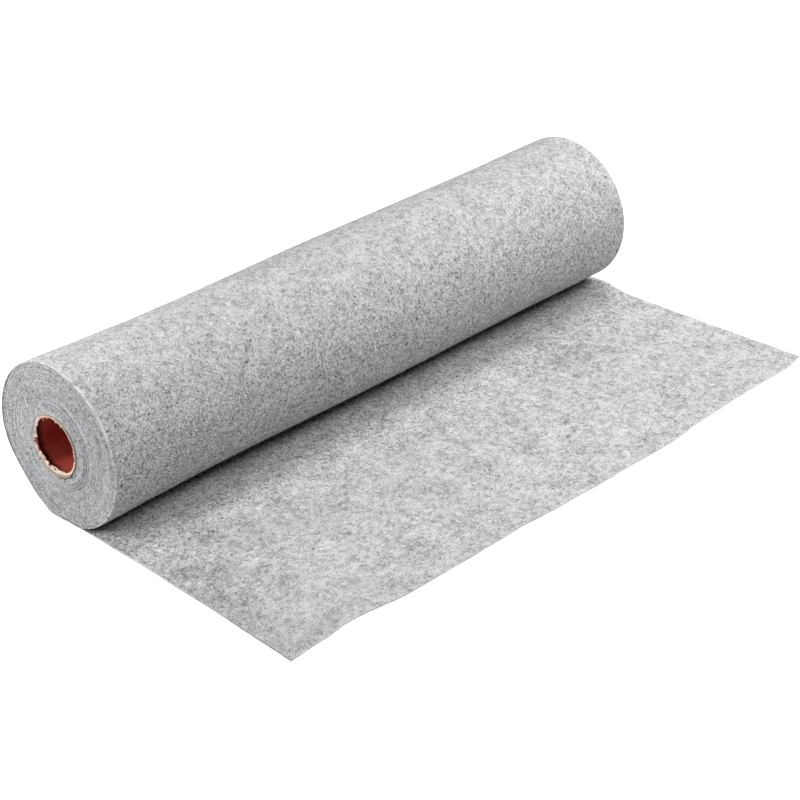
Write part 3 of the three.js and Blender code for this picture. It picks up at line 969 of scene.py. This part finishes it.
def make_felt():
    material, tree, shader = start_material("grey heather felt")
    cloth = map_place(tree, "cloth")
    spot = put(tree, "ShaderNodeSeparateXYZ")
    feed(tree, spot.inputs[0], cloth)
    outer_face = calc(tree, "GREATER_THAN", spot.outputs["Y"], FELT_WIDTH)
    edge = put(tree, "ShaderNodeSeparateXYZ")
    feed(tree, edge.inputs[0], map_place(tree, "cut_edge"))
    from_front = edge.outputs["Y"]
    cut = ramp_between(tree, edge.outputs["X"], *CUT_WIDTH, 1.0, 0.0)
    on_inner = calc(tree, "GREATER_THAN", from_front, OUTER_LENGTH)
    roll_end = calc(tree, "MULTIPLY", cut, on_inner)

    # Grain grows where shade falls: painted shade of the fibres
    front = (OUTER_LENGTH - FRONT_GRAIN, OUTER_LENGTH)
    low_front = ramp_between(tree, from_front, *front, *GRAIN_ON_ROLL)
    shade = (LOOSE_LENGTH - SHADE_FROM, LOOSE_LENGTH - SHADE_FULL)
    by_nip = ramp_between(tree, from_front, *shade, *GRAIN_ON_SHEET)

    def amount(sheet, roll, end):
        on_face = ramp_between(tree, outer_face, 0.0, 1.0, sheet, roll)
        return ramp_between(tree, roll_end, 0.0, 1.0, on_face, end)

    fibres = use_group(
        tree,
        heather,
        Place=cloth,
        Strands=amount(1.0, 0.9, 1.0),
        Clumps=amount(1.0, 0.65, 0.5),
        Grain=amount(by_nip, low_front, 2.25),
    )
    turn_tone = put(tree, "ShaderNodeTexNoise", noise_dimensions="1D")
    feed(tree, turn_tone.inputs["W"], from_front)
    turn_tone.inputs["Scale"].default_value = 1 / ARC_LENGTH
    arcs = ramp_between(tree, turn_tone.outputs["Fac"], *ARC_RAMP, *ARC_TONE)
    # Rim: partly a paler cut edge, partly a painted highlight where the light falls on it
    rim_tone = put(tree, "ShaderNodeTexNoise", noise_dimensions="1D")
    feed(tree, rim_tone.inputs["W"], from_front)
    rim_tone.inputs["Scale"].default_value = 1 / RIM_TONE_LENGTH
    rim_paling_and_highlight = (RIM_LEAST * RIM_LIGHTENING, RIM_LIGHTENING)
    rim_pale_and_highlit = ramp_between(tree, rim_tone.outputs["Fac"], *RIM_RAMP, *rim_paling_and_highlight)
    begun = ramp_between(tree, from_front, LOOSE_LENGTH + RIM_STARTS, LOOSE_LENGTH + RIM_FULL)
    ended = ramp_between(tree, from_front, OUTER_LENGTH - RIM_ENDS, OUTER_LENGTH, 1.0, RIM_AT_END)
    rim = calc(tree, "MULTIPLY", rim_pale_and_highlit, calc(tree, "MULTIPLY", begun, ended))
    lightening = ramp_between(tree, on_inner, 0.0, 1.0, rim, arcs)
    tone = calc(tree, "ADD", fibres["Tone"], calc(tree, "MULTIPLY", cut, lightening))
    side_cut = ramp_between(tree, edge.outputs["X"], *LOOSE_CUT, 1.0, 0.0)
    front_cut = ramp_between(tree, from_front, *LOOSE_CUT, 1.0, 0.0)
    on_loose = calc(tree, "LESS_THAN", from_front, LOOSE_LENGTH - NIP_SEEN)
    pale_cut = calc(tree, "MULTIPLY", calc(tree, "MAXIMUM", side_cut, front_cut), on_loose)
    tone = calc(tree, "ADD", tone, calc(tree, "MULTIPLY", pale_cut, LOOSE_CUT_LIGHTENING))
    # Patches of painted shade and painted light on the loose end
    for patch in PAINTED_LIGHT_AND_SHADE_PATCHES:
        away = put(tree, "ShaderNodeVectorMath", operation="DISTANCE")
        feed(tree, away.inputs[0], cloth)
        away.inputs[1].default_value = (patch.from_front, patch.across, 0)
        change = ramp_between(tree, away.outputs["Value"], 0.0, patch.reach, patch.tone, 0.0)
        tone = calc(tree, "ADD", tone, calc(tree, "MULTIPLY", change, on_loose))
    # Painted shade in the nip: on the loose end beside the roll, and on the roll just above it
    on_sheet = ramp_between(tree, from_front, LOOSE_LENGTH - NIP_SEEN, LOOSE_LENGTH - NIP_DARKEST)
    behind = ramp_between(tree, from_front, LOOSE_LENGTH, LOOSE_LENGTH + NIP_DARKEST, 1.0, 0.0)
    under_roll = ramp_between(tree, from_front, OUTER_LENGTH - NIP_ROLL, OUTER_LENGTH - NIP_DARKEST)
    nip_painted_shade = calc(tree, "MAXIMUM", calc(tree, "MULTIPLY", on_sheet, behind), under_roll)
    nip_painted_shade = calc(tree, "MULTIPLY", nip_painted_shade, calc(tree, "SUBTRACT", 1.0, on_inner))
    tone = calc(tree, "SUBTRACT", tone, calc(tree, "MULTIPLY", nip_painted_shade, NIP_PAINTED_SHADE))
    colours = put(tree, "ShaderNodeValToRGB")
    stops = colours.color_ramp.elements
    stops[0].position, stops[0].color = 0.02, (0.13, 0.13, 0.145, 1)
    stops[1].position, stops[1].color = 0.95, (0.94, 0.94, 0.945, 1)
    for position, grey in ((0.30, 0.377), (0.52, 0.624), (0.72, 0.79)):
        stop = stops.new(position)
        stop.color = (grey, grey, grey * 1.025, 1)
    feed(tree, colours.inputs[0], tone)
    feed(tree, shader.inputs["Base Color"], colours.outputs[0])
    feed(tree, shader.inputs["Roughness"], ramp_between(tree, fibres["Tone"], 0.0, 1.0, 0.98, 0.86))
    feed(tree, shader.inputs["Normal"], bump(tree, fibres["Relief"], 0.8, 0.7 * MM))
    shader.inputs["Specular IOR Level"].default_value = 0.2
    shader.inputs["Sheen Weight"].default_value = 0.12
    shader.inputs["Sheen Roughness"].default_value = 0.5
    return material


felt = make_felt()
for piece in (felt_outer, felt_turns):
    piece.data.materials.append(felt)
print("felt:", len(felt.node_tree.nodes), "nodes")

# %% [markdown]
# ## The core's papers
# The liner is smooth red-brown paper with a helical seam where its strips meet. The torn ring is pale,
# fibrous board, and the outside is kraft. All three share the paper fibre group with their own values.
# The liner also has painted shade just inside its near lip, on the side that the torn paper shades. Seam
# and painted shade are drawn from distances on the tube's own map, so they need no marks on the mesh.

# %% Paper materials
SEAM_PITCH, SEAM_SLOPE, SEAM_WIDTH = 105 * MM, 0.9, 0.7 * MM
SEAM_DARKENING, SEAM_SHADE = 0.6, 0.4
# Painted shade inside the liner's near lip, on the side that the torn paper shades
PAINTED_SHADE_BEGINS, PAINTED_SHADE_ENDS = (168, 202), (288, 352)
PAINTED_SHADE_STARTS, PAINTED_SHADE_DEPTH = (1.8 * MM, 3.6 * MM), (9 * MM, 18 * MM)
PAINTED_SHADE_UNEVEN = 9 * MM
PAINTED_SHADE_STRENGTH, PAINTED_SHADE_COLOUR = 0.90, (0.020, 0.004, 0.004, 1)


def round_ring(degrees):
    """Places on the tube's map, from degrees round the ring."""
    return [CORE_RADIUS * math.radians(angle) for angle in degrees]


def add_seam_and_painted_shade(tree, place, colour, height, dark):
    """The liner's helical seam, and the painted shade inside its near lip."""
    spot = put(tree, "ShaderNodeSeparateXYZ")
    feed(tree, spot.inputs[0], place)
    around, along = spot.outputs["X"], spot.outputs["Y"]
    helix = calc(tree, "ADD", around, calc(tree, "MULTIPLY", along, SEAM_SLOPE))
    across = calc(tree, "PINGPONG", helix, SEAM_PITCH / 2)
    groove = ramp_between(tree, across, 0.0, SEAM_WIDTH, 1.0, 0.0)
    shade = (*[channel * SEAM_SHADE for channel in dark[:3]], 1)
    colour = mix_colours(tree, calc(tree, "MULTIPLY", groove, SEAM_DARKENING), colour, shade)
    # Painted shade just inside the near lip
    begins = ramp_between(tree, around, *round_ring(PAINTED_SHADE_BEGINS))
    ends = ramp_between(tree, around, *round_ring(PAINTED_SHADE_ENDS), 1.0, 0.0)
    blotch = noise_value(tree, place, 1 / PAINTED_SHADE_UNEVEN, detail=2)
    inwards = calc(tree, "SUBTRACT", along, CORE_NEAR)
    reach = calc(tree, "ADD", inwards, calc(tree, "MULTIPLY", blotch, PAINTED_SHADE_UNEVEN))
    lip_painted_shade = ramp_between(tree, reach, *PAINTED_SHADE_DEPTH, 1.0, 0.0)
    lip_painted_shade = calc(tree, "MULTIPLY", lip_painted_shade, ramp_between(tree, inwards, *PAINTED_SHADE_STARTS))
    lip_painted_shade = calc(tree, "MULTIPLY", lip_painted_shade, calc(tree, "MULTIPLY", begins, ends))
    colour = mix_colours(tree, calc(tree, "MULTIPLY", lip_painted_shade, PAINTED_SHADE_STRENGTH), colour, PAINTED_SHADE_COLOUR)
    return colour, calc(tree, "SUBTRACT", height, groove)


def make_paper(name, dark, pale, relief, is_liner):
    material, tree, shader = start_material(name)
    place = map_place(tree, "tube")
    fibre = use_group(tree, paper_fibre, Place=place)
    colour = mix_colours(tree, ramp_between(tree, fibre["Mottle"], 0.3, 0.7), dark, pale)
    height = fibre["Relief"]
    if is_liner:
        colour, height = add_seam_and_painted_shade(tree, place, colour, height, dark)
    feed(tree, shader.inputs["Base Color"], colour)
    feed(tree, shader.inputs["Roughness"], ramp_between(tree, fibre["Mottle"], 0.2, 0.8, 0.75, 0.9))
    feed(tree, shader.inputs["Normal"], bump(tree, height, relief, 0.3 * MM))
    shader.inputs["Specular IOR Level"].default_value = 0.25
    return material


liner = make_paper("red-brown liner paper", (0.40, 0.062, 0.045, 1), (0.56, 0.100, 0.072, 1), 0.25, True)
torn = make_paper("pale torn board", (0.84, 0.62, 0.48, 1), (0.97, 0.87, 0.76, 1), 0.8, False)
kraft = make_paper("kraft outside paper", (0.34, 0.26, 0.18, 1), (0.60, 0.50, 0.38, 1), 0.4, False)
for paper in (liner, torn, kraft):
    core_mesh.materials.append(paper)
    flap_mesh.materials.append(paper)
print("papers:", [paper.name for paper in core_mesh.materials])

# %% [markdown]
# ## What each piece is
# Every piece rides on the one body of this part and stands for its solid, which is hidden.

for piece, node, slot in (
    (felt_outer, "felt_loose_end", "felt"),
    (felt_turns, "felt_roll", "felt"),
    (core_wall, "core_tube", "core_paper"),
    (core_flaps, "core_tube", "core_paper"),
):
    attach(piece, "root")
    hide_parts(node)

# %% [markdown]
# ## The floor
# The roll lies on a plain pale floor. In the picture the ground is white, as it is when an object is cut
# out. A very bright floor would do that too, but it would throw light up at the felt. Here the floor glows
# to the camera alone, so it looks white and lights the felt no more than pale paint would.

# %% Floor
FLOOR_HALF = 14.0
FLOOR_DROP = 0.4 * MM
SEEN_GLOW = 0.85
floor_mesh = bpy.data.meshes.new("floor")
floor_corners = [(-1, -1), (1, -1), (1, 1), (-1, 1)]
floor_points = [(FLOOR_HALF * x, FLOOR_HALF * y, -FLOOR_DROP) for x, y in floor_corners]
floor_mesh.from_pydata(floor_points, [], [(0, 1, 2, 3)])
floor = bpy.data.objects.new("floor", floor_mesh)
bpy.context.scene.collection.objects.link(floor)
floor_paint, floor_tree, floor_shader = start_material("pale studio floor")
seen = put(floor_tree, "ShaderNodeLightPath").outputs["Is Camera Ray"]
feed(floor_tree, floor_shader.inputs["Emission Strength"], calc(floor_tree, "MULTIPLY", seen, SEEN_GLOW))
floor_shader.inputs["Base Color"].default_value = (0.72, 0.72, 0.725, 1)
floor_shader.inputs["Emission Color"].default_value = (1, 1, 1, 1)
floor_shader.inputs["Roughness"].default_value = 0.9
floor_shader.inputs["Specular IOR Level"].default_value = 0.1
floor_mesh.materials.append(floor_paint)
print(f"floor: {2 * FLOOR_HALF:.0f} m square")

# %% [markdown]
# ## The light
# The shading is soft, so the light comes from large panels above, in front and at the right. Two narrow
# beams from the left light the near end of the roll and reach into the core. One bright sky would light
# the roll from all sides and flatten it, so the sky here is faint and only fills the shade.

# %% Light
SKY_STRENGTH = 0.01
Panel = namedtuple("Panel", "name place target size power spread")
PANELS = [
    Panel("overhead panel", (1.2, 0.2, 2.8), (0.1, 0.0, 0.0), 1.4, 52, 180),
    Panel("right panel", (3.0, -0.6, 1.6), (0.2, 0.0, 0.1), 1.5, 28, 180),
    Panel("left panel", (-2.87, 0.30, 1.51), (-0.5, 0.19, 0.11), 0.5, 0.45, 24),
    Panel("back left panel", (-1.42, 0.82, 0.76), (-0.5, 0.22, 0.15), 0.35, 0.37, 28),
    Panel("front panel", (1.4, -1.6, 2.7), (0.1, 0.0, 0.1), 1.5, 54.5, 180),
    Panel("low front panel", (0.3, -3.0, 1.2), (0.0, 0.0, 0.1), 1.5, 3, 180),
]
world = bpy.data.worlds.new("studio sky")
world.use_nodes = True
bpy.context.scene.world = world
world.node_tree.nodes["Background"].inputs["Color"].default_value = (1, 1, 1, 1)
world.node_tree.nodes["Background"].inputs["Strength"].default_value = SKY_STRENGTH
for panel in PANELS:
    lamp = bpy.data.lights.new(panel.name, "AREA")
    lamp.shape, lamp.size, lamp.energy = "DISK", panel.size, panel.power
    lamp.spread = math.radians(panel.spread)
    holder = bpy.data.objects.new(panel.name, lamp)
    holder.location = panel.place
    holder.visible_camera = False
    aim = Vector(panel.target) - Vector(panel.place)
    holder.rotation_euler = aim.to_track_quat("-Z", "Y").to_euler()
    bpy.context.scene.collection.objects.link(holder)
bpy.context.scene.view_settings.view_transform = "Standard"
print("panels:", [(panel.name, panel.power) for panel in PANELS])

# %% [markdown]
# ## The camera
# The camera's place, turn and lens were worked out from the outlines in the picture: the long sides of
# the roll, the round of its near end and the edges of the loose end. It looks down at about 29 degrees
# through a long lens, so the roll narrows only a little towards its far end.

# %% Camera
CAMERA_PLACE = Vector((NEAR_END - 1.392, AXIS_Y - 1.9617, 1.4799))
CAMERA_AZIMUTH, CAMERA_ELEVATION, CAMERA_ROLL = -45.72, 28.95, -1.02
CAMERA_LENS, CAMERA_SENSOR = 97.25, 36.0
azimuth, elevation = math.radians(CAMERA_AZIMUTH), math.radians(CAMERA_ELEVATION)
back = Vector(
    (
        math.sin(azimuth) * math.cos(elevation),
        -math.cos(azimuth) * math.cos(elevation),
        math.sin(elevation),
    )
)
right = Vector((math.cos(azimuth), math.sin(azimuth), 0))
level = Matrix((right, back.cross(right), back)).transposed()
camera_data = bpy.data.cameras.new("camera")
camera_data.lens, camera_data.sensor_width = CAMERA_LENS, CAMERA_SENSOR
camera_data.clip_end = 100
camera = bpy.data.objects.new("camera", camera_data)
camera.matrix_world = Matrix.Translation(CAMERA_PLACE) @ (
    level @ Matrix.Rotation(math.radians(CAMERA_ROLL), 3, "Z")
).to_4x4()
bpy.context.scene.collection.objects.link(camera)
bpy.context.scene.camera = camera
print("camera at", [round(value, 3) for value in CAMERA_PLACE])
